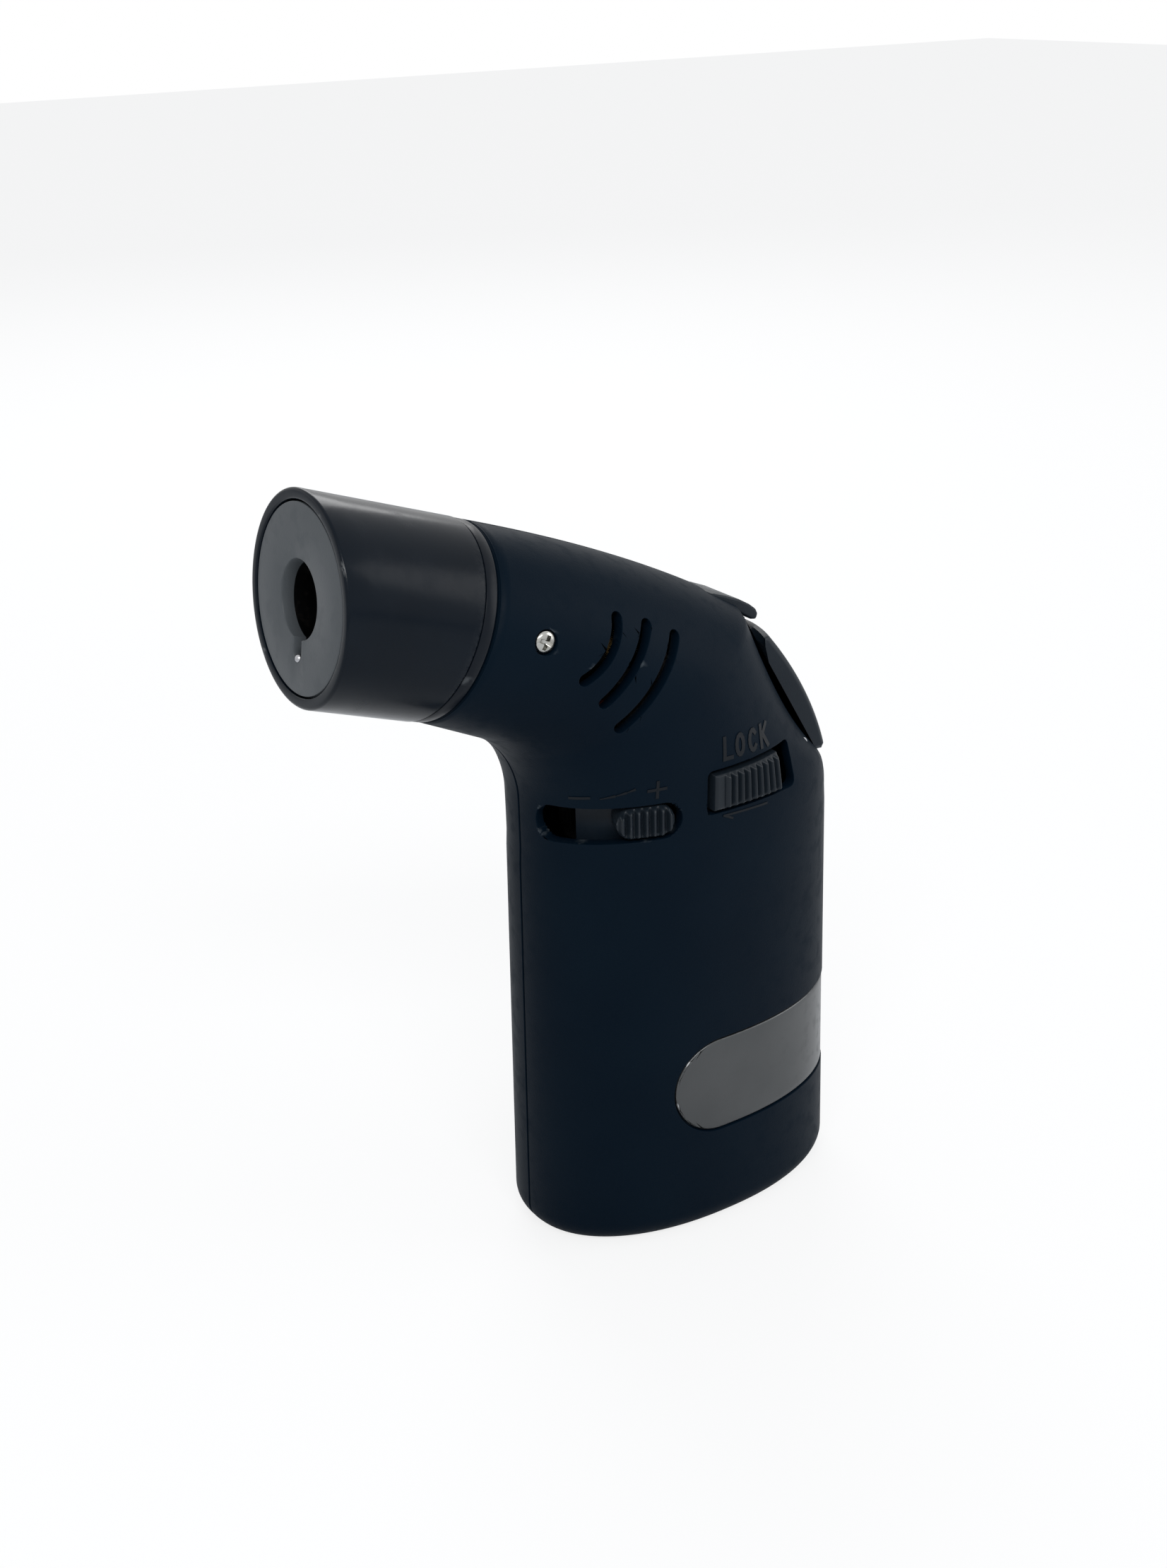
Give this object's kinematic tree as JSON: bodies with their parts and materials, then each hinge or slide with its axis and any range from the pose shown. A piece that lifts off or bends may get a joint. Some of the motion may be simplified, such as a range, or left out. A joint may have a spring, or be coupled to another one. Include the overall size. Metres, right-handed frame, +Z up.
{
  "type": "butane torch",
  "caption": "Pistol-style butane torch with an oval fuel handle, slanted barrel shroud, flame slider, lock slide and rear thumb button.",
  "frame": {"origin": "centre of the handle's flat foot", "axes": "+Z up the handle, flame end towards -X, flame slider and lock slide on the -Y side"},
  "size_m": [0.1058, 0.0421, 0.15],
  "materials": {
    "shell_plastic": "soft-touch satin black",
    "barrel_gloss": "glossy black enamel",
    "collar_gloss": "glossy black",
    "disc_metal": "satin grey",
    "burner_steel": "heat-dulled steel",
    "brass": "turned brass",
    "electrode_steel": "bright wire",
    "ceramic": "white glazed ceramic",
    "lead_rubber": "red insulation",
    "hose_plastic": "natural nylon",
    "tank_plastic": "translucent nylon",
    "seal_rubber": "black rubber",
    "stamped_steel": "stamped steel",
    "inner_plastic": "moulded black plastic",
    "knob_plastic": "moulded black plastic",
    "cover_plastic": "moulded black plastic",
    "plate_metal": "satin gunmetal",
    "screw_steel": "bright plated steel",
    "button_plastic": "satin black",
    "bridge_plastic": "satin black",
    "piezo_plastic": "moulded cream plastic",
    "plunger_plastic": "moulded dark plastic"
  },
  "bodies": {
    "housing": {"left_shell": "shell_plastic", "right_shell": "shell_plastic", "barrel_shroud": "barrel_gloss", "shroud_collar": "collar_gloss", "front_disc": "disc_metal", "burner_tube": "burner_steel", "flame_holder": "burner_steel", "jet_holder": "brass", "jet": "brass", "electrode": "electrode_steel", "insulator": "ceramic", "ignition_lead": "lead_rubber", "gas_hose": "hose_plastic", "tank": "tank_plastic", "tank_seal": "seal_rubber", "tank_lid": "tank_plastic", "valve_body": "brass", "crank_pin": "stamped_steel", "fill_valve": "brass", "base_cover": "cover_plastic", "name_plate": "plate_metal", "barrel_screws": "screw_steel", "shell_screws": "screw_steel", "button_pin": "stamped_steel", "top_bridge": "bridge_plastic", "piezo_body": "piezo_plastic"},
    "button": {"thumb_button": "button_plastic"},
    "plunger": {"piezo_plunger": "plunger_plastic"},
    "crank": {"valve_crank": "stamped_steel"},
    "stem": {"valve_stem": "brass"},
    "flame_lever": {"flame_ring": "inner_plastic", "flame_knob": "knob_plastic"},
    "lock": {"lock_slider": "inner_plastic", "lock_knob": "knob_plastic"},
    "filler": {"fill_stem": "brass"}
  },
  "joints": [
    {"name": "trigger_press", "type": "hinge", "parent": "housing", "child": "button", "pos_m": [0.0225, 0, 0.0892], "axis": [0, -1, 0], "range_deg": [0, 10], "stiffness_Nm_per_rad": 2},
    {"name": "igniter_stroke", "type": "slide", "parent": "housing", "child": "plunger", "axis": [-1, 0, 0], "range_m": [0, 0.00297]},
    {"name": "crank_swing", "type": "hinge", "parent": "housing", "child": "crank", "pos_m": [0, 0.005, 0.107], "axis": [0, 1, 0], "range_deg": [0, 12.01]},
    {"name": "valve_lift", "type": "slide", "parent": "housing", "child": "stem", "axis": [0, 0, 1], "range_m": [0, 0.00241]},
    {"name": "flame_adjust", "type": "hinge", "parent": "housing", "child": "flame_lever", "pos_m": [-0.009, 0.005, 0.0864], "axis": [0, 0, -1], "range_deg": [0, 30]},
    {"name": "lock_slide", "type": "slide", "parent": "housing", "child": "lock", "axis": [1, 0, 0], "range_m": [0, 0.0034]},
    {"name": "fill_push", "type": "slide", "parent": "housing", "child": "filler", "axis": [0, 0, 1], "range_m": [0, 0.0015], "stiffness_N_per_m": 3000}
  ],
  "couplings": [
    {"joint": "igniter_stroke", "follows": "trigger_press", "m_per_rad": 0.017},
    {"joint": "crank_swing", "follows": "trigger_press", "ratio": 1.2},
    {"joint": "valve_lift", "follows": "trigger_press", "m_per_rad": 0.0138}
  ]
}
